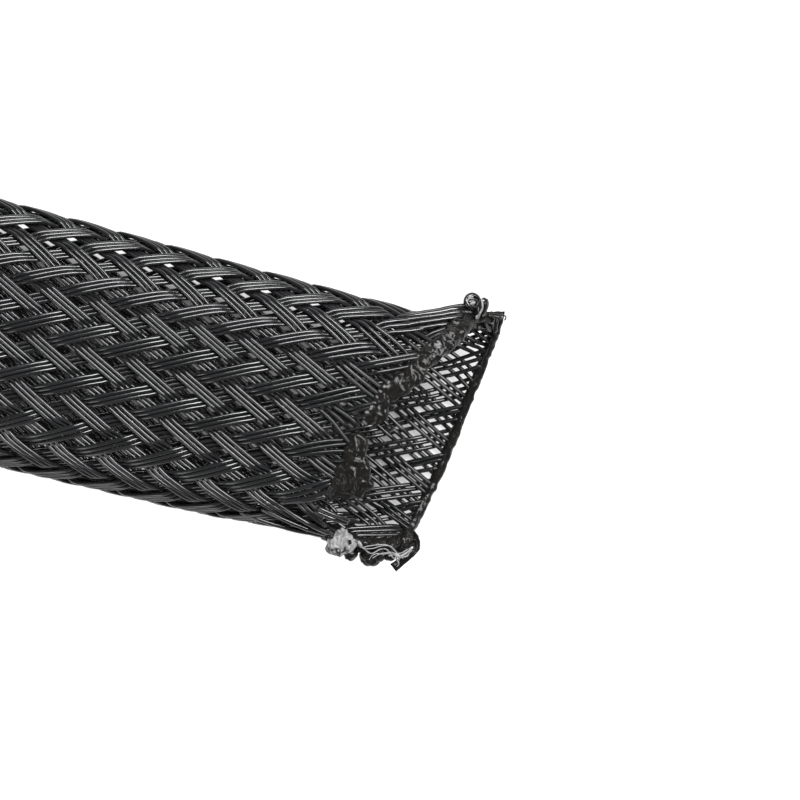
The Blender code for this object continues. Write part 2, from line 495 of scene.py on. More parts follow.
@dataclass(frozen=True)
class RaggedCut:
    """Where the hot cut and the fraying left the wall's edge, and the two places that split.

    "upper" lists the edge's middle line on the upper wall as (short, y), and
    "sides_and_under" lists it round the rest as (short, around). A split is (around, how far
    it opens, short where it starts). Its sides part within "split_edge" of its middle, over
    "split_growth" along the sleeve, and the wall is at rest again well past "split_reach".
    """

    form: WallForm
    upper: Spots = (
        (1.93, 6.69), (2.30, 6.13), (2.74, 5.38), (3.11, 4.50), (3.49, 3.63), (3.99, 2.75),
        (4.68, 2.00), (4.93, 1.25), (5.05, 0.50), (5.60, 0.05), (6.60, -0.30), (6.10, -0.70),
        (5.70, -1.37), (5.45, -2.10), (5.45, -2.75), (5.75, -3.31), (6.30, -3.70), (6.80, -4.40),
        (6.30, -5.00), (5.45, -5.70),
    )
    sides_and_under: Spots = (
        (1.10, -15.3), (1.60, -12.0), (2.00, -10.0), (2.60, -8.9), (3.90, -8.2), (5.10, -7.5),
        (1.60, 7.6), (0.80, 8.3), (0.45, 9.2), (0.40, 10.4), (0.60, 12.0), (1.10, 15.3),
    )
    splits: Spots = ((-0.35, 0.42, 8.2), (-4.4, 0.5, 8.6))
    split_reach: float = 1.5
    split_edge: float = 0.25
    split_growth: float = 4.0

    def edge(self) -> tuple[Array, Array]:
        """The edge all the way round.

        Returns:
            The distances around, rising, and the distances short of the tip.
        """
        above = [(short, self.form.around_at(short, y)) for short, y in self.upper]
        listed = np.array(sorted([*above, *self.sides_and_under], key=lambda spot: spot[1]))
        return listed[:, 1], listed[:, 0]

    def spread(self, x: Array, around: Array) -> Array:
        """How far the two sides of each split have drawn apart.

        Each side moves away from the split by the hyperbolic tangent of its distance from it,
        fading as a bell curve, and growing from nothing where the split starts.

        Args:
            x: along the sleeve.
            around: the distance around.

        Returns:
            The move around, positive towards +Y.
        """
        signed = self.form.signed(around)
        moved = np.zeros(np.broadcast(x, around).shape)
        for place, most, start in self.splits:
            off, opens = signed - place, self.form.half_length - start
            apart = np.tanh(off / self.split_edge) * np.exp(-((off / self.split_reach) ** 2))
            moved += most * apart * smooth_step(x, opens, opens + self.split_growth)
        return moved


@dataclass
class Braid:
    """The braided wall: carriers of parallel monofilaments, over two and under two.

    The rows of crossings lie along the sleeve. Numbering them round the section, two rows have
    the falling carriers on top, and the next two the rising ones. "noise_gaps" is how far
    apart the carriers, the monofilaments and the shifts within a carrier lie in the noises,
    and "singed" where heat starts to dull a monofilament and where it has, short of its end.
    """

    form: WallForm
    cut: RaggedCut
    carriers_each_way: int = 24
    ends: int = 3
    crossing_step: float = 1.27
    end_pitch: float = 0.215
    row_zero: float = -0.14
    crossing_zero: float = -17.006
    lift: float = 0.118
    bulge: float = 0.03
    sharpness: float = 4.0
    wander: float = 0.035
    wander_length: float = 7.0
    single_wander: float = 0.014
    loose_wander: float = 0.08
    single_length: float = 3.0
    unevenness: float = 0.15
    noise_gaps: Triple = (3.7, 5.3, 9.0)
    wander_seed: int = 11
    single_seed: int = 21
    uneven_seed: int = 31
    strand_seed: int = 31
    loosened: Pair = (10.0, 4.0)
    loosening: float = 0.5
    singed: Pair = (2.6, 0.4)
    edge_within: float = 16.0
    edge_past: float = 0.5
    edge_step: float = 0.02
    mouth_zone: float = 28.0
    plain_bead: float = 0.5
    overlap: float = 0.05
    mouth_sides: int = 8
    run_sides: int = 5
    mouth_ring: float = 0.3
    rings_a_crossing: float = 2.0

    @property
    def row_step(self) -> float:
        """The distance round the section between rows of crossings."""
        return self.form.girth / (2.0 * self.carriers_each_way)

    def numbers(self) -> tuple[Array, Array]:
        """Numbers the monofilaments.

        Returns:
            Each one's carrier number, and its shift within the carrier, counted in carriers.
        """
        slope = math.atan2(self.row_step, self.crossing_step)
        beside = self.end_pitch / math.cos(slope) / (2.0 * self.row_step)
        order = np.arange(self.ends) - 0.5 * (self.ends - 1)
        carrier = np.repeat(np.arange(self.carriers_each_way), self.ends)
        shift = np.tile(order * beside, self.carriers_each_way)
        return carrier[:, None].astype(float), shift[:, None]

    def path(self, winding: Winding, x: Array) -> tuple[Array, Array]:
        """Where each monofilament of one winding runs.

        A carrier's distance around grows or falls in step with x. Its distance out is a
        rounded square wave of the crossing's number: the hyperbolic tangent of a cosine, with
        a little of the cosine itself, so that a float bows. Noise makes each carrier and each
        monofilament wander, the latter more where the carriers loosen near the mouth.

        Args:
            winding: which way the carriers run.
            x: places along each monofilament, (monofilaments, rings).

        Returns:
            The distance around and the distance out, each as x.
        """
        tip, sign = self.form.half_length, winding.value
        carrier, shift = self.numbers()
        steps = (x - tip - self.crossing_zero) / self.crossing_step
        crossing = 2.0 * carrier + shift + sign * steps
        wave = np.cos(0.5 * np.pi * (crossing + 0.5))
        flat = np.tanh(self.sharpness * wave) / math.tanh(self.sharpness)
        near = smooth_step(x, *(tip - short for short in self.loosened))
        loose = shift * (1.0 + self.loosening * near)
        around = self.row_zero + self.row_step * (2.0 * (carrier + loose) + sign * steps)
        level = np.zeros(x.shape)
        carrier_gap, single_gap, shift_gap = self.noise_gaps
        number = carrier * self.ends + shift * shift_gap
        whole = np.stack([x / self.wander_length, carrier * carrier_gap + level, level], axis=-1)
        single = np.stack([x / self.single_length, number * single_gap + level, level], axis=-1)
        around = around + self.wander * value_noise(whole, 1.0, winding.seed(self.wander_seed))
        wander = value_noise(single, 1.0, winding.seed(self.single_seed))
        around = around + (self.single_wander + self.loose_wander * near) * wander
        uneven = value_noise(single, 1.0, winding.seed(self.uneven_seed))
        uneven = 1.0 + self.unevenness * uneven
        out = -sign * (self.lift * flat + self.bulge * wave) * uneven
        return around + self.cut.spread(x, around), out

    def ends_at(self, winding: Winding) -> Array:
        """Finds where each monofilament first meets the ragged edge.

        Args:
            winding: which way they run.

        Returns:
            The places along x, (monofilaments,).
        """
        tip = self.form.half_length
        x = np.arange(tip - self.edge_within, tip + self.edge_past, self.edge_step)
        every = np.broadcast_to(x, (self.carriers_each_way * self.ends, len(x)))
        around, _ = self.path(winding, every)
        places, shorts = self.cut.edge()
        short = np.interp(self.form.signed(around), places, shorts)
        return x[np.argmax(every >= tip - short, axis=1)]

    def tubes(
        self, winding: Winding, start: Array, stop: Array, rings: int, sides: int
    ) -> TubeGrid:
        """The tubes of one winding between two places along x.

        Args:
            winding: which way they run.
            start: each monofilament's first x, (monofilaments,).
            stop: each monofilament's last x, (monofilaments,).
            rings: how many rings each has.
            sides: how many sides.

        Returns:
            The tubes.
        """
        share = np.linspace(0.0, 1.0, rings)[None, :]
        x = start[:, None] + (stop - start)[:, None] * share
        around, out = self.path(winding, x)
        centres, outwards = self.form.place(x, around, out)
        radius = np.full(x.shape, 0.5 * self.form.monofilament)
        centres[..., 2] = np.maximum(centres[..., 2], radius)
        draws = np.random.default_rng(winding.seed(self.strand_seed))
        strand = draws.uniform(0.0, 1.0, len(x))
        grid, _ = sweep(centres, outwards, radius, radius, sides, strand)
        return grid

    def build(self, material: Material) -> None:
        """Makes the pieces: the stretch at the mouth and two plain stretches, each winding apart.

        Args:
            material: the monofilaments' finish.
        """
        tip = self.form.half_length
        every = np.ones(self.carriers_each_way * self.ends)
        zone, plain = tip - self.mouth_zone, -tip + self.plain_bead
        middle = 0.5 * (zone + plain)
        for winding in Winding:
            way = winding.name.lower()
            rings = round(self.mouth_zone / self.mouth_ring)
            start, stop = every * (zone - self.overlap), self.ends_at(winding)
            grid = self.tubes(winding, start, stop, rings, self.mouth_sides)
            ahead = grid.points[..., 0] - stop[:, None, None]
            grid.white = smooth_step(ahead, *(-short for short in self.singed))
            write_mesh(f"{way}_monofilaments_mouth", [grid], material)
            for label, first, last in (("middle", middle, zone), ("plain_end", plain, middle)):
                rings = round(self.rings_a_crossing * (last - first) / self.crossing_step)
                start, stop = every * (first - self.overlap), every * (last + self.overlap)
                grid = self.tubes(winding, start, stop, rings, self.run_sides)
                write_mesh(f"{way}_monofilaments_{label}", [grid], material)


@dataclass
class Rope:
    """A run of melted plastic along the wall, and how crumpled it is.

    Each point is (short, around, half-width, half-thickness), and "ring" is the distance
    between the rope's rings.
    """

    points: Array
    seed: int
    crumple: float = 1.0
    least_rings: int = 24
    ring: float = 0.045
    sides: int = 56
    end_share: float = 0.12
    squareness: float = 2.0


@dataclass
class MeltedRim:
    """The black edge that the hot cut left: lobes, a plain bead underneath, lumps and scuffs.

    Lobes on the upper wall are listed as (short, y, half-width, half-thickness), and the rest
    as (short, around, half-width, half-thickness). A lump is (short, y, z, radius), and a
    scuff (short, y, radius). Noises are in millimetres for a crumple of 1, apart from
    "uneven", a share of the width, and "scuff_grain".
    """

    form: WallForm
    lobe_at_plus_y: Spots = (
        (1.75, 6.95, 0.30, 0.28), (2.00, 6.60, 0.46, 0.34), (2.28, 6.15, 0.50, 0.34),
        (2.66, 5.35, 0.44, 0.31), (3.24, 4.50, 0.52, 0.30), (3.62, 3.80, 0.44, 0.27),
        (3.80, 3.20, 0.52, 0.28), (4.20, 2.56, 0.56, 0.28), (4.83, 1.90, 0.46, 0.26),
        (5.06, 1.25, 0.47, 0.29), (5.12, 0.62, 0.70, 0.31), (5.02, 0.14, 0.62, 0.24),
    )
    lobe_in_middle: Spots = (
        (6.18, -0.70, 0.24, 0.16), (5.80, -0.95, 0.64, 0.28), (5.66, -1.40, 0.62, 0.30),
        (5.46, -1.94, 0.64, 0.30), (5.36, -2.42, 0.86, 0.32), (5.46, -2.68, 1.00, 0.32),
        (5.72, -3.05, 0.88, 0.28), (6.05, -3.35, 0.58, 0.24), (6.26, -3.66, 0.34, 0.20),
        (6.33, -3.98, 0.18, 0.14),
    )
    rim_under: Spots = (
        (5.30, -7.25, 0.30, 0.26), (4.40, -7.90, 0.34, 0.28), (3.30, -8.45, 0.34, 0.28),
        (2.50, -9.10, 0.30, 0.26), (2.00, -10.2, 0.26, 0.26), (1.60, -12.2, 0.25, 0.26),
        (1.25, -14.0, 0.25, 0.26), (1.00, -16.0, 0.25, 0.26), (0.75, -18.0, 0.25, 0.26),
        (0.50, -19.8, 0.25, 0.26), (0.40, -21.2, 0.28, 0.26), (0.60, -22.0, 0.30, 0.28),
        (1.20, -22.7, 0.30, 0.28), (1.85, -23.3, 0.26, 0.26),
    )
    # The lumps at 2.10 and 2.16 short of the tip, near y -5.1 and -5.5, are dark fills where there
    # is only a cast shadow: painted shade.
    lumps_and_shade_fills: Spots = (
        (4.60, -6.38, 2.6, 0.33), (4.20, -6.00, 2.7, 0.18), (6.00, -5.72, 3.7, 0.26),
        (2.10, -5.14, 1.6, 0.42), (2.16, -5.50, 1.6, 0.34), (3.60, -6.28, 2.3, 0.50),
        (3.22, -6.10, 2.5, 0.34), (2.72, -5.95, 2.2, 0.33), (4.30, 0.26, 6.0, 0.20),
        (4.62, -2.75, 5.9, 0.30), (2.78, 5.86, 4.75, 0.17), (3.48, 3.02, 5.85, 0.15),
        (3.92, 2.28, 5.98, 0.13), (4.42, 1.32, 6.08, 0.14), (5.72, 0.42, 6.05, 0.17),
    )
    scuffs: Spots = (
        (2.42, 5.90, 0.07), (2.40, 5.62, 0.07), (2.45, 5.34, 0.06), (2.78, 5.24, 0.12),
        (3.00, 4.86, 0.24), (3.04, 4.50, 0.09), (3.06, 4.28, 0.07), (4.90, 2.44, 0.12),
        (5.02, 2.20, 0.12), (5.16, 1.92, 0.11), (5.26, 1.60, 0.10), (5.34, 1.28, 0.12),
        (5.46, 0.98, 0.15), (5.58, 0.72, 0.16), (5.68, 0.50, 0.14), (5.50, -1.62, 0.09),
        (4.85, -2.62, 0.12),
    )
    lobe_squareness: float = 3.2
    warp: Noise = Noise(0.16, 0.5, 5)
    drawn_out: Triple = (1.0, 0.5, 1.0)
    swell: Noise = Noise(0.05, 0.62)
    fold: Noise = Noise(0.065, 0.30, 1)
    fine: Noise = Noise(0.034, 0.11, 2)
    wander: Noise = Noise(0.07, 0.4, 17)
    uneven: Noise = Noise(0.13, 0.26, 9)
    scuff_grain: Noise = Noise(0.45, 0.09, 71)
    scuff_level: float = 0.8
    scuff_edge: Pair = (0.35, 0.6)
    length_steps: int = 400
    lump_ring: float = 0.05
    lump_rings: int = 16
    lump_pole: float = 0.03
    lump_seed: int = 80
    lump_seed_step: int = 7

    def on_upper_wall(self, listed: Spots) -> Array:
        """A lobe's points with its y turned into a distance around."""
        turned = [(s, self.form.around_at(s, y), wide, thick) for s, y, wide, thick in listed]
        return np.array(turned)

    def scuffed(self, points: Array) -> Array:
        """How far each point is scuffed white.

        A scuff is a bell curve round its middle seen from above, roughened by noise and cut
        off sharply, on surfaces above the sleeve's middle.

        Args:
            points: places, (..., 3).

        Returns:
            The share of white, (...).
        """
        white = np.zeros(points.shape[:-1])
        for short, y, radius in self.scuffs:
            off = points[..., :2] - np.array([self.form.half_length - short, y])
            white = np.maximum(white, np.exp(-((np.linalg.norm(off, axis=-1) / radius) ** 2)))
        rough = white * (self.scuff_level + self.scuff_grain.at(points))
        return smooth_step(rough, *self.scuff_edge) * (points[..., 2] > 0.5 * self.form.height)

    def crumpled(
        self, grid: TubeGrid, normals: Array, seed: int, amount: float = 1.0
    ) -> TubeGrid:
        """Pushes a grid's points in and out, in swellings, sharp folds and pits.

        The push is a broad noise, plus a fold that is its depth less twice the size of a finer
        noise, plus a fine noise. They are read at places that another noise has moved, and
        that are drawn out across the sleeve, as the cut runs. Nothing goes under the floor.

        Args:
            grid: the smooth form.
            normals: the way out at each point.
            seed: which noises.
            amount: how strong they are, 1 for a lobe.

        Returns:
            The same grid, crumpled.
        """
        warped = grid.points + self.warp.at(grid.points, seed)[..., None]
        warped = warped * np.array(self.drawn_out)
        folds = self.fold.strength - 2.0 * np.abs(self.fold.at(warped, seed))
        push = amount * (self.swell.at(warped, seed) + folds + self.fine.at(warped, seed))
        grid.points = grid.points + normals * push[..., None]
        grid.points[..., 2] = np.maximum(grid.points[..., 2], 0.0)
        grid.white = self.scuffed(grid.points)
        return grid

    def rope(self, rope: Rope) -> TubeGrid:
        """Lays a rope of melted plastic along the wall.

        Its middle wanders round the wall and its width varies, both by noise.

        Args:
            rope: its path, section and crumple.

        Returns:
            The grid.
        """
        rough = curve_through(rope.points, self.length_steps)
        length = np.linalg.norm(np.diff(rough[:, :2], axis=0), axis=1).sum()
        count = max(rope.least_rings, int(length / rope.ring))
        path = curve_through(rope.points, count)
        x = self.form.half_length - path[:, 0]
        level = np.zeros(count)
        centres, _ = self.form.place(x, path[:, 1], level)
        around = path[:, 1] + rope.crumple * self.wander.at(centres, rope.seed)
        centres, outwards = self.form.place(x, around, level)
        close = rounded_ends(count, rope.end_share)
        uneven = 1.0 + self.uneven.at(centres, rope.seed)
        wide, thick = (path[:, 2] * close * uneven)[None], (path[:, 3] * close)[None]
        strand, power = np.array([0.3]), rope.squareness
        grid, normals = sweep(
            centres[None], outwards[None], thick, wide, rope.sides, strand, squareness=power
        )
        return self.crumpled(grid, normals, rope.seed, rope.crumple)

    def lump(self, middle: Array, radius: float, seed: int) -> TubeGrid:
        """A crumpled ball: a circle whose radius follows a half circle along a short path.

        Args:
            middle: its middle.
            radius: its radius.
            seed: which noises.

        Returns:
            The grid.
        """
        count = max(self.lump_rings, int(math.pi * radius / self.lump_ring))
        turn = np.linspace(self.lump_pole, math.pi - self.lump_pole, count)
        offsets = np.stack([-radius * np.cos(turn), 0.0 * turn, 0.0 * turn], axis=1)
        centres = (middle + offsets)[None]
        reach = (radius * np.sin(turn))[None]
        grid, _ = sweep(centres, upwards(centres), reach, reach, 2 * count, np.array([0.6]))
        return self.crumpled(grid, unit(grid.points - middle), seed)

    def build(self, material: Material) -> None:
        """Makes the two lobes, the rim underneath and the lumps, two of which are dark fills
        painted where only shade lies.

        Args:
            material: the melted plastic's finish.
        """
        lobes = (self.lobe_at_plus_y, self.lobe_in_middle)
        at_plus_y, in_middle = (self.on_upper_wall(lobe) for lobe in lobes)
        square = self.lobe_squareness
        first = Rope(at_plus_y, seed=41, squareness=square)
        second = Rope(in_middle, seed=51, sides=84, end_share=0.08, squareness=square)
        write_mesh("melted_lobes", [self.rope(first), self.rope(second)], material)
        under = Rope(
            np.array(self.rim_under), seed=61, crumple=0.6, ring=0.06, sides=28, end_share=0.02
        )
        write_mesh("melted_rim_under", [self.rope(under)], material)
        tip = self.form.half_length
        seeds = itertools.count(self.lump_seed, self.lump_seed_step)
        balls = [
            self.lump(np.array([tip - short, y, z]), radius, seed)
            for seed, (short, y, z, radius) in zip(seeds, self.lumps_and_shade_fills)
        ]
        write_mesh("melted_lumps", balls, material)


@dataclass(frozen=True)
class Strands:
    """Round strands of one radius along paths of (short, y, z), and the first one's seed."""

    radius: float
    seed: int
    paths: tuple[Spots, ...]


@dataclass
class LooseEnds:
    """What sticks out of the mouth: curled ends, stray strands, flat flaps and fine threads.

    A flap's path lists (short, y, z, half-width), and "flap_thick" and "thin_flap" are half its
    thickness. The first strands of "curled_ends" are the curl at +Y and the hook beside it. Pale
    strands laid on the curl, the hook and an edge of the flap at -Y are painted highlights.
    """

    form: WallForm
    curl: Strands = Strands(
        radius=0.15,
        seed=1,
        paths=(
            (
                (5.40, 5.60, 4.40), (4.40, 6.02, 4.50), (3.40, 6.46, 4.4), (2.60, 6.86, 4.2),
                (2.05, 7.06, 3.9), (1.70, 7.18, 3.8), (1.58, 7.44, 3.8), (1.70, 7.68, 3.9),
                (1.95, 7.74, 4.0), (2.16, 7.58, 4.1), (2.17, 7.32, 4.2), (1.95, 7.14, 4.2),
                (1.66, 7.06, 4.0), (1.45, 6.75, 3.6),
            ),
        ),
    )
    hook: Strands = Strands(
        radius=0.165,
        seed=2,
        paths=(
            (
                (1.50, 6.60, 3.9), (1.46, 6.95, 4.2), (1.46, 7.30, 4.4), (1.41, 7.54, 4.4),
                (1.30, 7.63, 4.35), (1.20, 7.55, 4.2), (1.17, 7.32, 4.0), (1.20, 7.05, 3.8),
                (1.25, 6.85, 3.5),
            ),
        ),
    )
    across_curl: Strands = Strands(
        radius=0.09,
        seed=8,
        paths=(
            (
                (2.12, 7.20, 4.25), (2.02, 7.36, 4.25), (1.88, 7.46, 4.2), (1.68, 7.56, 4.1),
            ),
        ),
    )
    gathered: Strands = Strands(
        radius=0.12,
        seed=9,
        paths=(
            (
                (5.7, 5.35, 4.6), (4.5, 5.82, 4.6), (3.4, 6.28, 4.55), (2.5, 6.70, 4.3),
                (1.6, 6.94, 3.9),
            ),
            (
                (5.3, 5.20, 4.8), (4.2, 5.68, 4.8), (3.2, 6.12, 4.7), (2.5, 6.45, 4.5),
                (2.1, 6.66, 4.3),
            ),
            (
                (5.2, 5.80, 4.2), (4.2, 6.22, 4.2), (3.4, 6.58, 4.05), (2.7, 6.94, 3.9),
                (2.10, 7.18, 3.8),
            ),
            ((4.7, 5.20, 4.9), (3.8, 5.56, 4.9), (3.2, 5.84, 4.85), (2.7, 6.06, 4.7)),
            (
                (10.5, -5.72, 4.3), (9.0, -5.88, 4.3), (7.5, -5.90, 4.15), (6.5, -5.84, 3.9),
                (5.90, -5.84, 3.7),
            ),
            (
                (9.5, -5.25, 4.8), (8.2, -5.52, 4.8), (7.0, -5.68, 4.55), (6.3, -5.72, 4.2),
                (5.86, -5.70, 3.9),
            ),
            (
                (8.6, -4.90, 5.1), (7.6, -5.22, 5.1), (6.7, -5.47, 4.85), (6.1, -5.60, 4.4),
                (5.74, -5.60, 4.1),
            ),
            ((6.9, -4.70, 5.3), (6.2, -4.80, 5.25), (5.6, -4.86, 5.05), (5.05, -4.90, 4.75)),
            ((6.8, -4.50, 5.4), (6.1, -4.60, 5.40), (5.5, -4.68, 5.20), (5.00, -4.76, 4.95)),
        ),
    )
    strays: Strands = Strands(
        radius=0.1,
        seed=3,
        paths=(
            ((0.55, 7.25, 3.2), (0.42, 6.95, 3.1), (0.40, 6.60, 2.9), (0.33, 6.25, 2.6)),
            ((0.30, 7.20, 3.1), (0.20, 6.85, 2.9), (0.22, 6.50, 2.6), (0.16, 6.15, 2.3)),
            ((1.12, 6.76, 3.3), (0.98, 6.60, 3.2), (0.80, 6.40, 2.9), (0.62, 6.22, 2.6)),
            ((8.60, -4.72, 5.9), (7.60, -4.36, 6.1), (6.90, -4.05, 6.2), (6.45, -3.80, 6.2)),
        ),
    )
    whisker: Strands = Strands(
        radius=0.035,
        seed=9,
        paths=(
            (
                (0.20, 7.12, 3.3), (0.08, 7.16, 3.35), (0.03, 7.06, 3.3), (0.07, 6.92, 3.2),
            ),
        ),
    )
    flap_at_plus_y: Spots = (
        (1.25, 6.98, 3.4, 0.12), (0.85, 7.06, 3.4, 0.13), (0.45, 7.14, 3.35, 0.19),
        (0.14, 7.19, 3.3, 0.20),
    )
    web_at_plus_y: Spots = (
        (1.95, 6.55, 3.5, 0.34), (1.55, 6.54, 3.2, 0.36), (1.15, 6.50, 2.9, 0.34),
        (0.85, 6.48, 2.8, 0.30), (0.60, 6.50, 2.6, 0.32),
    )
    flap_at_minus_y: Spots = (
        (2.05, -4.62, 0.75, 0.30), (1.66, -4.90, 1.30, 0.28), (1.44, -5.22, 1.90, 0.21),
        (1.50, -5.50, 2.20, 0.18), (1.88, -6.00, 2.15, 0.22), (2.31, -6.56, 2.10, 0.26),
    )
    # Pale legs: the first lies along the top of the hook's leg and the last along one edge of the
    # flap at -Y, as painted highlights of those; the middle two are pale strands by the flap at +Y.
    whitened_legs_and_painted_highlights: Strands = Strands(
        radius=0.055,
        seed=30,
        paths=(
            (
                (1.47, 7.66, 4.50), (1.36, 7.40, 4.55), (1.31, 7.20, 4.50), (1.37, 6.93, 4.4),
                (1.45, 6.64, 4.2),
            ),
            ((0.72, 6.62, 2.85), (0.58, 6.72, 2.85), (0.50, 6.96, 2.95)),
            ((0.58, 6.72, 2.85), (0.46, 6.50, 2.75)),
            ((2.20, -5.93, 2.75), (1.98, -5.76, 2.70), (1.80, -5.56, 2.60), (1.67, -5.34, 2.40)),
        ),
    )
    whitened_knots: Strands = Strands(
        radius=0.095,
        seed=40,
        paths=(
            ((2.02, 7.24, 4.20), (1.88, 7.32, 4.24), (1.72, 7.44, 4.24)),
            ((4.42, -5.66, 3.35), (4.25, -5.78, 3.40), (4.10, -5.94, 3.30)),
            ((2.45, -5.80, 2.90), (2.28, -5.88, 2.95), (2.10, -5.93, 2.85)),
            ((4.66, -5.76, 3.75), (4.60, -5.90, 3.70), (4.66, -6.02, 3.60)),
        ),
    )
    # Pale strands on top of the curl's tube and the hook's leg: painted highlights of those black
    # tubes.
    painted_highlights: Strands = Strands(
        radius=0.045,
        seed=50,
        paths=(
            ((2.13, 7.28, 4.33), (2.12, 7.44, 4.30), (2.04, 7.60, 4.22), (1.88, 7.68, 4.13)),
            ((1.44, 6.82, 4.40), (1.50, 6.72, 4.35), (1.46, 6.62, 4.30)),
        ),
    )
    # Black strands laid in the curl's hole and on the pale mass at -Y: painted shade of pits, not
    # hollows in the surface.
    pits: Strands = Strands(
        radius=0.08,
        seed=60,
        paths=(
            ((4.82, -5.68, 3.98), (4.75, -5.78, 3.98), (4.72, -5.90, 3.92)),
            ((2.06, 7.38, 4.02), (1.94, 7.48, 4.02), (1.80, 7.54, 3.98)),
        ),
    )
    threads: Strands = Strands(
        radius=0.025,
        seed=20,
        paths=(
            (
                (4.45, -5.62, 3.3), (4.15, -5.92, 3.2), (3.80, -5.78, 3.1), (3.40, -5.62, 3.1),
                (2.95, -5.50, 3.0), (2.50, -5.66, 2.9), (2.20, -5.95, 2.8),
            ),
            (
                (4.30, -5.70, 3.2), (3.95, -5.98, 3.1), (3.55, -6.10, 3.1), (3.20, -5.80, 3.0),
                (2.85, -5.72, 3.0), (2.55, -5.98, 2.9), (2.30, -6.10, 2.8),
            ),
            (
                (3.45, -6.32, 3.1), (3.15, -6.02, 3.1), (2.80, -5.88, 3.0), (2.45, -5.82, 2.9),
                (2.10, -5.70, 2.8), (1.85, -5.45, 2.7),
            ),
            (
                (2.70, -6.02, 2.9), (2.40, -5.88, 2.9), (2.20, -6.10, 2.8), (2.05, -5.92, 2.7),
                (1.80, -5.80, 2.6), (1.70, -5.52, 2.6),
            ),
            (
                (2.60, -5.60, 2.9), (2.35, -5.75, 2.9), (2.30, -6.02, 2.8), (2.10, -6.25, 2.7),
                (2.15, -6.45, 2.5),
            ),
            (
                (4.60, -5.62, 3.6), (4.25, -5.74, 3.4), (4.05, -5.95, 3.2), (3.60, -5.86, 3.1),
                (3.10, -5.58, 3.0), (2.70, -5.52, 3.0), (2.40, -5.72, 2.9),
            ),
            (
                (3.60, -6.45, 3.0), (3.50, -6.20, 3.1), (3.30, -6.05, 3.1), (2.95, -5.98, 3.0),
                (2.60, -5.80, 3.0), (2.25, -5.86, 2.9), (1.95, -5.95, 2.7),
            ),
            (
                (1.62, -5.45, 2.45), (1.85, -5.78, 2.45), (2.10, -5.98, 2.45), (2.22, -6.22, 2.4),
            ),
        ),
    )
    uneven: Noise = Noise(0.14, 0.3)
    ring_share: float = 0.7
    strand_sides: int = 12
    closed_rings: float = 2.0
    closed_most: float = 0.3
    least_places: int = 8
    flap_thick: float = 0.06
    thin_flap: float = 0.045
    flap_sides: int = 40
    flap_ring: float = 0.03
    rib: float = 0.02
    rib_turns: float = 9.0
    flap_rough: Noise = Noise(0.025, 0.16, 93)
    fleck: Noise = Noise(1.0, 0.12, 94)
    # How far the white flecks lean to one edge of a flap: a painted highlight along that edge.
    painted_highlight_lean: float = 0.5
    fleck_edge: Pair = (0.25, 0.6)
    fleck_and_highlight_white: float = 0.7

    def line(self, listed: Spots, step: float) -> Array:
        """The smooth centre line through points that start with (short, y, z).

        Args:
            listed: the points.
            step: how far apart the returned places are.

        Returns:
            The places as (x, y, z), with any further numbers of the points after them.
        """
        points = np.array(listed, float)
        points[:, 0] = self.form.half_length - points[:, 0]
        length = np.linalg.norm(np.diff(points, axis=0), axis=1).sum()
        return curve_through(points, max(self.least_places, int(length / step)))

    def strand(self, listed: Spots, radius: float, seed: int) -> TubeGrid:
        """A round strand along a listed path, a little uneven and closed at both ends.

        Args:
            listed: the path.
            radius: its radius.
            seed: which noise makes it uneven. Its last digit gives the strand's number.

        Returns:
            The tube.
        """
        centres = self.line(listed, self.ring_share * radius)
        count = len(centres)
        close = rounded_ends(count, min(self.closed_most, self.closed_rings / count))
        reach = (radius * (1.0 + self.uneven.at(centres, seed)) * close)[None]
        number, up = np.array([0.1 * (seed % 10)]), upwards(centres)[None]
        grid, _ = sweep(centres[None], up, reach, reach, self.strand_sides, number)
        return grid

    def strands(self, *groups: Strands) -> list[TubeGrid]:
        """Makes every strand of some groups, each with the next seed of its group.

        Args:
            *groups: the groups.

        Returns:
            The tubes, in the groups' order.
        """
        return [
            self.strand(path, group.radius, group.seed + k)
            for group in groups
            for k, path in enumerate(group.paths)
        ]

    def flap(self, listed: Spots, thick: float) -> TubeGrid:
        """A flat ribbon of fused strands along a listed path.

        Its ribs are the cosine of some turns times the sine of the angle round its section,
        which spaces them evenly across its width. White flecks are scattered by noise, and lean to
        one edge as a painted highlight along it.

        Args:
            listed: the path, each point with half the ribbon's width as a fourth number.
            thick: half its thickness.

        Returns:
            The tube, with a flat oval section, ribbed along its length.
        """
        path = self.line(listed, self.flap_ring)
        centres, widths = path[:, :3], path[:, 3][None]
        level, strand = np.full(widths.shape, thick), np.array([0.5])
        up, sides = upwards(centres)[None], self.flap_sides
        grid, normals = sweep(centres[None], up, level, widths, sides, strand)
        across = np.sin(2.0 * np.pi * np.arange(sides) / sides)
        ribs = self.rib * np.cos(self.rib_turns * across)
        grid.points = grid.points + normals * (ribs + self.flap_rough.at(grid.points))[..., None]
        # Noise flecks, plus a lean to one edge that paints a highlight there.
        flecks_and_painted_highlight = self.fleck.at(grid.points) + self.painted_highlight_lean * across
        grid.white = self.fleck_and_highlight_white * smooth_step(flecks_and_painted_highlight, *self.fleck_edge)
        return grid

    def build(self, thread: Material, melt: Material, whitened_and_painted_highlight: Material) -> None:
        """Makes the curls, strays, flaps and threads, and the pale strands that are painted
        highlights.

        Args:
            thread: the monofilament's finish.
            melt: the melted plastic's finish.
            whitened_and_painted_highlight: the pale finish of the fine threads and of the painted
                highlights.
        """
        curls = self.strands(self.curl, self.hook, self.across_curl, self.whisker)
        loose = self.strands(self.strays, self.gathered)
        write_mesh("curled_ends", curls + loose, thread)
        flaps = [self.flap(self.flap_at_plus_y, self.flap_thick)]
        flaps += [self.flap(self.web_at_plus_y, self.flap_thick)]
        flaps += [self.flap(self.flap_at_minus_y, self.thin_flap)]
        # The fused flaps, with the black strands that are painted shade of pits.
        write_mesh("fused_flaps", flaps + self.strands(self.pits), melt)
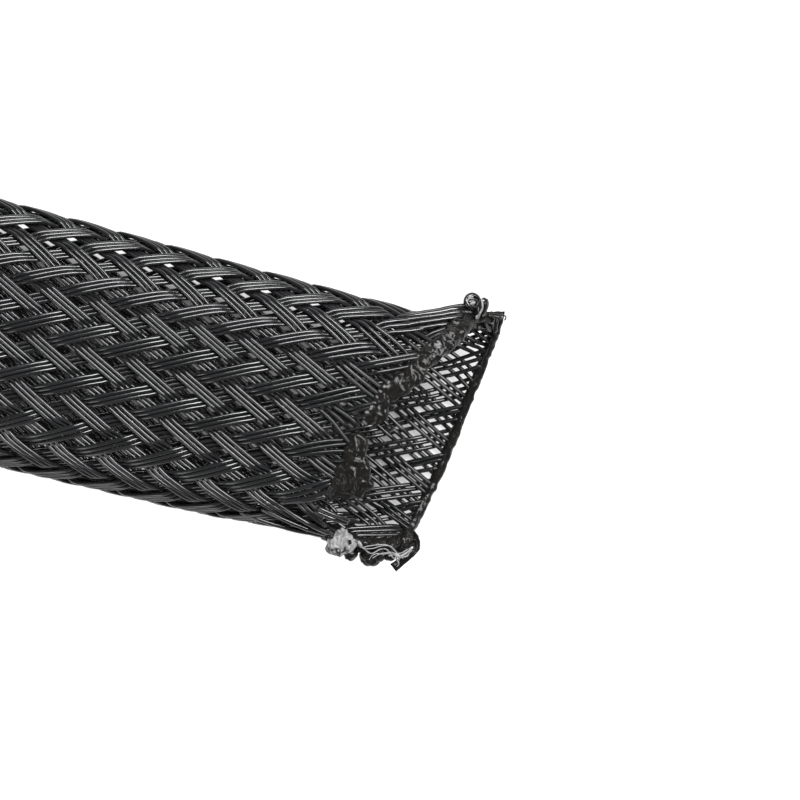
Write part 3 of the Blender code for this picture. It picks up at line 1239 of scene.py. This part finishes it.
        # Whitened threads, together with the pale strands that are painted highlights.
        fine = self.strands(self.threads, self.whitened_legs_and_painted_highlights, self.whitened_knots, self.painted_highlights)
        write_mesh("whitened_threads", fine, whitened_and_painted_highlight)


@dataclass
class WhitenedBlob:
    """The pale frosted mass where the strands at -Y have fused.

    It is one swept shape, listed as (short, y, z, half-width, half-thickness). Its creases are
    painted shade: where the sum of two noises is near nothing, its colour is painted darker.
    """

    form: WallForm
    mass: Spots = (
        (5.96, -5.96, 3.5, 0.16, 0.20), (5.84, -5.92, 3.5, 0.32, 0.32),
        (5.56, -5.97, 3.5, 0.52, 0.42), (5.24, -5.95, 3.5, 0.64, 0.46),
        (4.96, -5.97, 3.5, 0.52, 0.42), (4.66, -5.96, 3.4, 0.32, 0.32),
        (4.42, -5.93, 3.3, 0.12, 0.18),
    )
    crumple: float = 2.0
    seed: int = 120
    rings: int = 60
    sides: int = 96
    end_share: float = 0.06
    creases: tuple[Noise, ...] = (Noise(1.0, 0.5, 131), Noise(0.3, 0.15, 132))
    crease_reach: float = 0.3
    painted_crease_shade: float = 0.8

    def build(self, rim: MeltedRim, material: Material) -> None:
        """Makes the mass.

        Args:
            rim: gives the crumple of melted plastic.
            material: the whitened finish.
        """
        path = curve_through(np.array(self.mass), self.rings)
        path[:, 0] = self.form.half_length - path[:, 0]
        close, centres = rounded_ends(self.rings, self.end_share), path[:, :3]
        wide, thick = (path[:, 3] * close)[None], (path[:, 4] * close)[None]
        up, strand = upwards(centres)[None], np.array([0.6])
        grid, normals = sweep(centres[None], up, thick, wide, self.sides, strand)
        grid = rim.crumpled(grid, normals, self.seed, self.crumple)
        # Painted shade of creases: the colour is darkened along lines where two noises sum to near
        # nothing.
        creases = np.abs(sum(noise.at(grid.points) for noise in self.creases))
        grid.white = self.painted_crease_shade * (smooth_step(creases, 0.0, self.crease_reach) - 1.0)
        write_mesh("whitened_blob", [grid], material)


@dataclass
class PlainSeal:
    """The sealed cut at the far end: one even melted bead all round."""

    form: WallForm
    radius: float = 0.3
    steps: int = 320
    sides: int = 16
    seed: int = 101
    crumple: float = 0.35

    def build(self, rim: MeltedRim, material: Material) -> None:
        """Makes the bead as a loop round the section.

        Args:
            rim: gives the crumple of melted plastic.
            material: the melted plastic's finish.
        """
        around = self.form.girth * np.arange(self.steps) / self.steps
        x = np.full(self.steps, -self.form.half_length + self.radius)
        centres, outwards = self.form.place(x, around, np.zeros(self.steps))
        even = np.full((1, self.steps), self.radius)
        strand = np.array([0.4])
        grid, normals = sweep(
            centres[None], outwards[None], even, even, self.sides, strand, looped=True
        )
        bead = rim.crumpled(grid, normals, self.seed, self.crumple)
        write_mesh("sealed_bead", [bead], material)


# Finishes


@dataclass
class Wiring:
    """A node tree, with short ways to add nodes and join them."""

    tree: bpy.types.NodeTree

    def add(self, kind: str, **settings: object) -> bpy.types.Node:
        """Adds a node.

        Args:
            kind: the node's type.
            **settings: its plain settings.

        Returns:
            The node.
        """
        node = self.tree.nodes.new(kind)
        for name, value in settings.items():
            setattr(node, name, value)
        return node

    def join(self, source: Socket, target: Socket) -> None:
        """Links one socket to another."""
        self.tree.links.new(source, target)

    def attribute(self, name: str) -> Socket:
        """One of the meshes' own numbers."""
        return self.add("ShaderNodeAttribute", attribute_name=name).outputs["Fac"]

    def noise(self, vector: Socket, scale: float, detail: float) -> Socket:
        """Adds a noise texture.

        Args:
            vector: the coordinates to read it at.
            scale: how fine it is.
            detail: how many finer layers it has.

        Returns:
            Its value, from 0 to 1.
        """
        node = self.add("ShaderNodeTexNoise")
        node.inputs["Scale"].default_value = scale
        node.inputs["Detail"].default_value = detail
        self.join(vector, node.inputs["Vector"])
        return node.outputs["Fac"]

    def span(
        self, value: Socket, low: float, high: float, to_low: float = 0.0, to_high: float = 1.0
    ) -> Socket:
        """Maps a value from one span to another, clamped.

        Args:
            value: the value.
            low: where the first span starts.
            high: where it ends.
            to_low: what its start becomes.
            to_high: what its end becomes.

        Returns:
            The mapped value.
        """
        node = self.add("ShaderNodeMapRange")
        node.inputs["From Min"].default_value = low
        node.inputs["From Max"].default_value = high
        node.inputs["To Min"].default_value = to_low
        node.inputs["To Max"].default_value = to_high
        self.join(value, node.inputs["Value"])
        return node.outputs["Result"]

    def work_out(self, maths: Maths, *values: Socket) -> Socket:
        """Adds a maths node.

        Args:
            maths: what it works out.
            *values: one value or two, as that needs.

        Returns:
            The result.
        """
        node = self.add("ShaderNodeMath", operation=maths.value)
        for value, socket in zip(values, node.inputs):
            self.join(value, socket)
        return node.outputs[0]

    def blend(self, share: Socket, first: Socket | Colour, second: Socket | Colour) -> Socket:
        """Mixes two colours.

        Args:
            share: how much of the second colour.
            first: a socket or a plain colour.
            second: the same.

        Returns:
            The mixed colour.
        """
        node = self.add("ShaderNodeMix", data_type="RGBA")
        node.clamp_factor = True
        self.join(share, node.inputs[0])
        for socket, colour in ((node.inputs[6], first), (node.inputs[7], second)):
            if isinstance(colour, tuple):
                socket.default_value = (*colour, 1.0)
            else:
                self.join(colour, socket)
        return node.outputs[2]

    def bump(self, height: Socket, depth: float, strength: float) -> Socket:
        """Adds a bump.

        Args:
            height: the height, from 0 to 1.
            depth: how deep that is, in millimetres.
            strength: how much of it shows.

        Returns:
            The bumped normal.
        """
        node = self.add("ShaderNodeBump")
        node.inputs["Strength"].default_value = strength
        node.inputs["Distance"].default_value = depth * MM
        self.join(height, node.inputs["Height"])
        return node.outputs["Normal"]


def new_finish(name: str) -> tuple[Material, Wiring, bpy.types.Node]:
    """A new material.

    Args:
        name: its name.

    Returns:
        The material, its wiring and its Principled shader.
    """
    material = bpy.data.materials.new(name)
    material.use_nodes = True
    tree = material.node_tree
    return material, Wiring(tree), tree.nodes["Principled BSDF"]


def new_group(name: str, inputs: dict[str, float], outputs: tuple[str, ...]) -> Wiring:
    """A new shader node group with named number sockets.

    Args:
        name: the group's name.
        inputs: each input and its usual value.
        outputs: the outputs.

    Returns:
        The group's wiring.
    """
    group = bpy.data.node_groups.new(name, "ShaderNodeTree")
    for label, value in inputs.items():
        socket = group.interface.new_socket(label, in_out="INPUT", socket_type="NodeSocketFloat")
        socket.default_value = value
    for label in outputs:
        group.interface.new_socket(label, in_out="OUTPUT", socket_type="NodeSocketFloat")
    return Wiring(group)


def drawn_streaks_group() -> bpy.types.NodeTree:
    """The lines that drawing leaves along a thread, from the map that runs along and round it.

    Returns:
        A group: Round Scale and Along Scale in, Streak from 0 to 1 out.
    """
    wiring = new_group("drawn_streaks", {"Round Scale": 14.0, "Along Scale": 0.35}, ("Streak",))
    given, result = wiring.add("NodeGroupInput"), wiring.add("NodeGroupOutput")
    split = wiring.add("ShaderNodeSeparateXYZ")
    place = wiring.add("ShaderNodeUVMap", uv_map="along_and_round")
    wiring.join(place.outputs["UV"], split.inputs["Vector"])
    both = wiring.add("ShaderNodeCombineXYZ")
    for axis, scale in (("X", "Along Scale"), ("Y", "Round Scale")):
        scaled = wiring.work_out(Maths.PRODUCT, split.outputs[axis], given.outputs[scale])
        wiring.join(scaled, both.inputs[axis])
    streak = wiring.noise(both.outputs["Vector"], scale=1.0, detail=2.0)
    wiring.join(streak, result.inputs["Streak"])
    return wiring.tree


def crumple_group() -> bpy.types.NodeTree:
    """Fine creases and pits of melted plastic, on object coordinates.

    Returns:
        A group: Scale in, Height and Pits out, both from 0 to 1.
    """
    wiring = new_group("crumple", {"Scale": 1.0}, ("Height", "Pits"))
    given, result = wiring.add("NodeGroupInput"), wiring.add("NodeGroupOutput")
    place = wiring.add("ShaderNodeTexCoord")
    sized = wiring.add("ShaderNodeVectorMath", operation="SCALE")
    wiring.join(place.outputs["Object"], sized.inputs["Vector"])
    wiring.join(given.outputs["Scale"], sized.inputs["Scale"])
    height = wiring.noise(sized.outputs["Vector"], scale=6000.0, detail=4.0)
    wiring.join(height, result.inputs["Height"])
    pits = wiring.noise(sized.outputs["Vector"], scale=14000.0, detail=2.0)
    wiring.join(wiring.span(pits, low=0.55, high=0.72), result.inputs["Pits"])
    return wiring.tree


def dust_group() -> bpy.types.NodeTree:
    """Sparse specks of pale dust, on object coordinates.

    Returns:
        A group: Amount in, Dust from 0 to 1 out.
    """
    wiring = new_group("dust", {"Amount": 1.0}, ("Dust",))
    given, result = wiring.add("NodeGroupInput"), wiring.add("NodeGroupOutput")
    place = wiring.add("ShaderNodeTexCoord").outputs["Object"]
    specks = wiring.span(wiring.noise(place, scale=7000.0, detail=2.0), low=0.70, high=0.80)
    patches = wiring.span(wiring.noise(place, scale=350.0, detail=2.0), low=0.45, high=0.7)
    both = wiring.work_out(Maths.PRODUCT, specks, patches)
    dust = wiring.work_out(Maths.PRODUCT, both, given.outputs["Amount"])
    wiring.join(dust, result.inputs["Dust"])
    return wiring.tree


@dataclass(frozen=True)
class Effects:
    """The node groups that more than one finish uses."""

    streaks: bpy.types.NodeTree = field(default_factory=drawn_streaks_group)
    crumple: bpy.types.NodeTree = field(default_factory=crumple_group)
    dust: bpy.types.NodeTree = field(default_factory=dust_group)


@dataclass(frozen=True)
class Monofilament:
    """The finish of the drawn polyester thread: near black, glossy, with fine lengthwise lines.

    It is rougher and shines less where it is singed, short of the mouth's edge.
    """

    dark: Colour = (0.0055, 0.0057, 0.0062)
    light: Colour = (0.011, 0.0112, 0.012)
    dust_colour: Colour = (0.35, 0.34, 0.32)
    streak_span: Pair = (0.3, 0.7)
    smooth: float = 0.09
    rough: float = 0.17
    singed_rough: float = 0.14
    shine: float = 0.5
    singed_shine: float = 0.26
    line_depth: float = 0.004
    line_strength: float = 0.35
    refraction: float = 1.57

    def material(self, effects: Effects) -> Material:
        """Builds the material.

        Args:
            effects: the shared node groups.

        Returns:
            The material.
        """
        material, wiring, shader = new_finish("black_monofilament")
        streak = wiring.add("ShaderNodeGroup", node_tree=effects.streaks).outputs["Streak"]
        dust = wiring.add("ShaderNodeGroup", node_tree=effects.dust).outputs["Dust"]
        own = wiring.blend(wiring.attribute("strand"), self.dark, self.light)
        dusty = wiring.blend(dust, own, self.dust_colour)
        wiring.join(dusty, shader.inputs["Base Color"])
        singed = wiring.attribute("white")
        drawn = wiring.span(streak, *self.streak_span, self.smooth, self.rough)
        duller = wiring.span(singed, 0.0, 1.0, 0.0, self.singed_rough)
        roughness = wiring.work_out(Maths.TOTAL, drawn, duller)
        wiring.join(roughness, shader.inputs["Roughness"])
        shine = wiring.span(singed, 0.0, 1.0, self.shine, self.singed_shine)
        wiring.join(shine, shader.inputs["Specular IOR Level"])
        lines = wiring.bump(streak, self.line_depth, self.line_strength)
        wiring.join(lines, shader.inputs["Normal"])
        shader.inputs["IOR"].default_value = self.refraction
        return material


@dataclass(frozen=True)
class Melt:
    """The finish of melted plastic: wet-looking black, a little brown, scuffed white in spots.

    The share of white is the mesh's own, plus a part of the creases that breaks it up, plus the
    "whiteness" that a piece has all over.
    """

    name: str = "melted_black_plastic"
    dark: Colour = (0.005, 0.005, 0.005)
    brown: Colour = (0.011, 0.010, 0.009)
    brown_span: Pair = (0.35, 0.7)
    white: Colour = (0.15, 0.15, 0.155)
    whiteness: float = 0.0
    white_span: Pair = (0.15, 0.85)
    broken_from: Pair = (0.3, 0.75)
    broken_to: Pair = (-0.45, 0.13)
    glossy: float = 0.17
    matt: float = 0.42
    shine: float = 0.135
    crease_depth: float = 0.04
    crease_strength: float = 0.5
    refraction: float = 1.57

    def material(self, effects: Effects) -> Material:
        """Builds the material.

        Args:
            effects: the shared node groups.

        Returns:
            The material.
        """
        material, wiring, shader = new_finish(self.name)
        crumple = wiring.add("ShaderNodeGroup", node_tree=effects.crumple)
        height, pits = crumple.outputs["Height"], crumple.outputs["Pits"]
        body = wiring.blend(wiring.span(height, *self.brown_span), self.dark, self.brown)
        broken = wiring.span(height, *self.broken_from, *self.broken_to)
        share = wiring.work_out(Maths.TOTAL, wiring.attribute("white"), broken)
        share = wiring.span(share, *(edge - self.whiteness for edge in self.white_span))
        wiring.join(wiring.blend(share, body, self.white), shader.inputs["Base Color"])
        roughness = wiring.span(pits, 0.0, 1.0, self.glossy, self.matt)
        wiring.join(roughness, shader.inputs["Roughness"])
        creases = wiring.bump(height, self.crease_depth, self.crease_strength)
        wiring.join(creases, shader.inputs["Normal"])
        shader.inputs["IOR"].default_value = self.refraction
        shader.inputs["Specular IOR Level"].default_value = self.shine
        return material


@dataclass(frozen=True)
class PaleFloor:
    """The finish of the floor: it glows white, a painted light that washes out the sleeve's cast
    shadow round it, and glows only faintly under the sleeve.

    The glow comes in between two distances from the sleeve's middle line, and between two
    distances short of either of its ends. The stronger of the two counts.
    """

    form: WallForm
    colour: Colour = (0.22, 0.22, 0.22)
    darker: Colour = (0.20, 0.20, 0.20)
    roughness: float = 0.65
    glow: float = 0.95
    # The faint glow under the sleeve; beside and beyond it the glow is full, painted light over its
    # cast shadow.
    faint: Colour = (0.1, 0.1, 0.1)
    full: Colour = (1.0, 1.0, 1.0)
    across: Pair = (4.0, 6.3)
    short: Pair = (5.0, 0.5)

    def material(self) -> Material:
        """Builds the material.

        Returns:
            The material.
        """
        material, wiring, shader = new_finish("pale_floor")
        place = wiring.add("ShaderNodeTexCoord").outputs["Object"]
        shade = wiring.noise(place, scale=3.0, detail=2.0)
        wiring.join(wiring.blend(shade, self.darker, self.colour), shader.inputs["Base Color"])
        shader.inputs["Roughness"].default_value = self.roughness
        split = wiring.add("ShaderNodeSeparateXYZ")
        wiring.join(place, split.inputs["Vector"])
        across = wiring.work_out(Maths.SIZE, split.outputs["Y"])
        beside = wiring.span(across, *(distance * MM for distance in self.across))
        along = wiring.work_out(Maths.SIZE, split.outputs["X"])
        half = self.form.half_length
        beyond = wiring.span(along, *((half - short) * MM for short in self.short))
        # Painted light: full glow beside and beyond the sleeve hides its cast shadow; under it the
        # glow stays faint.
        either = wiring.work_out(Maths.LARGER, beside, beyond)
        glow = wiring.blend(either, self.faint, self.full)
        wiring.join(glow, shader.inputs["Emission Color"])
        shader.inputs["Emission Strength"].default_value = self.glow
        return material


@dataclass(frozen=True)
class SoftLight:
    """A rectangular soft light that faces the sleeve.

    "toward" is the way from the sleeve to the light, "long_way" the way its longer side runs,
    and "radiance" how bright its face is, where the picture's white is 1.
    """

    name: str
    toward: Triple
    long_way: Triple
    distance: float
    long_side: float
    short_side: float
    radiance: float

    def build(self) -> None:
        """Hangs the light: its x runs along the longer side, and its z away from the sleeve."""
        data = bpy.data.lights.new(self.name, "AREA")
        data.shape = "RECTANGLE"
        data.size, data.size_y = self.long_side, self.short_side
        data.energy = self.radiance * math.pi * self.long_side * self.short_side
        light = bpy.data.objects.new(self.name, data)
        away = Vector(self.toward).normalized()
        side = Vector(self.long_way)
        side = (side - away * side.dot(away)).normalized()
        up = away.cross(side)
        columns = (side, up, away, away * self.distance)
        rows = [[column[k] for column in columns] for k in range(3)]
        light.matrix_world = Matrix([*rows, [0.0, 0.0, 0.0, 1.0]])
        light.visible_camera = False
        bpy.context.scene.collection.objects.link(light)


@dataclass(frozen=True)
class Studio:
    """The pale floor, the lights and the camera that looks straight down."""

    form: WallForm
    roll: float = 14.7
    field_width: float = 40.0
    look_at: Triple = (-4.13, 1.73, 4.5)
    lens: float = 200.0
    sensor: float = 36.0
    clip_start: float = 0.01
    floor_side: float = 8.0
    floor_drop: float = 0.02
    world: float = 0.22
    lights: tuple[SoftLight, ...] = (
        SoftLight(
            "main_light",
            toward=(0.24, 0.50, 0.83),
            long_way=(0.9, -0.44, 0.0),
            distance=1.8,
            long_side=2.2,
            short_side=0.55,
            radiance=22.0,
        ),
        SoftLight(
            "fill_light",
            toward=(-0.35, -0.70, 0.62),
            long_way=(0.9, -0.44, 0.0),
            distance=1.8,
            long_side=1.4,
            short_side=0.5,
            radiance=5.0,
        ),
    )

    def build(self) -> None:
        """Makes the floor, world, lights and camera."""
        self.floor()
        world = bpy.data.worlds.new("studio")
        world.use_nodes = True
        backdrop = world.node_tree.nodes["Background"]
        backdrop.inputs["Color"].default_value = (1.0, 1.0, 1.0, 1.0)
        backdrop.inputs["Strength"].default_value = self.world
        bpy.context.scene.world = world
        for light in self.lights:
            light.build()
        self.camera()
        bpy.context.scene.view_settings.view_transform = "Standard"

    def floor(self) -> None:
        """A large pale floor just under the sleeve."""
        mesh = bpy.data.meshes.new("floor")
        side, z = self.floor_side, -self.floor_drop * MM
        corners = [(-side, -side, z), (side, -side, z), (side, side, z), (-side, side, z)]
        mesh.from_pydata(corners, [], [(0, 1, 2, 3)])
        mesh.materials.append(PaleFloor(self.form).material())
        plane = bpy.data.objects.new("floor", mesh)
        bpy.context.scene.collection.objects.link(plane)

    def camera(self) -> None:
        """A long lens straight above, turned so that the sleeve runs down to the right."""
        data = bpy.data.cameras.new("camera")
        data.sensor_width, data.lens, data.clip_start = self.sensor, self.lens, self.clip_start
        camera = bpy.data.objects.new("camera", data)
        distance = self.field_width * self.lens / self.sensor
        along, y, z = self.look_at
        camera.location = ((self.form.half_length + along) * MM, y * MM, (z + distance) * MM)
        camera.rotation_euler = (0.0, 0.0, math.radians(self.roll))
        bpy.context.scene.collection.objects.link(camera)
        bpy.context.scene.camera = camera


def main() -> None:
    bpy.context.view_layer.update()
    low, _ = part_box(NODE)
    form = WallForm(half_length=-low[0] / MM)
    Studio(form).build()
    effects = Effects()
    thread = Monofilament().material(effects)
    melt = Melt().material(effects)
    # The pale finish: whitened threads and the pale mass, and also the strands that are painted
    # highlights.
    whitened_and_painted_highlight = Melt(
        name="whitened_plastic",
        white=(0.25, 0.245, 0.25),
        whiteness=1.0,
        glossy=0.3,
        matt=0.5,
        shine=0.3,
    ).material(effects)
    Braid(form, RaggedCut(form)).build(thread)
    rim = MeltedRim(form)
    rim.build(melt)
    WhitenedBlob(form).build(rim, whitened_and_painted_highlight)
    LooseEnds(form).build(thread, melt, whitened_and_painted_highlight)
    PlainSeal(form).build(rim, melt)


if __name__ == "__main__":
    logging.basicConfig(level=logging.INFO, format="%(message)s")
    main()
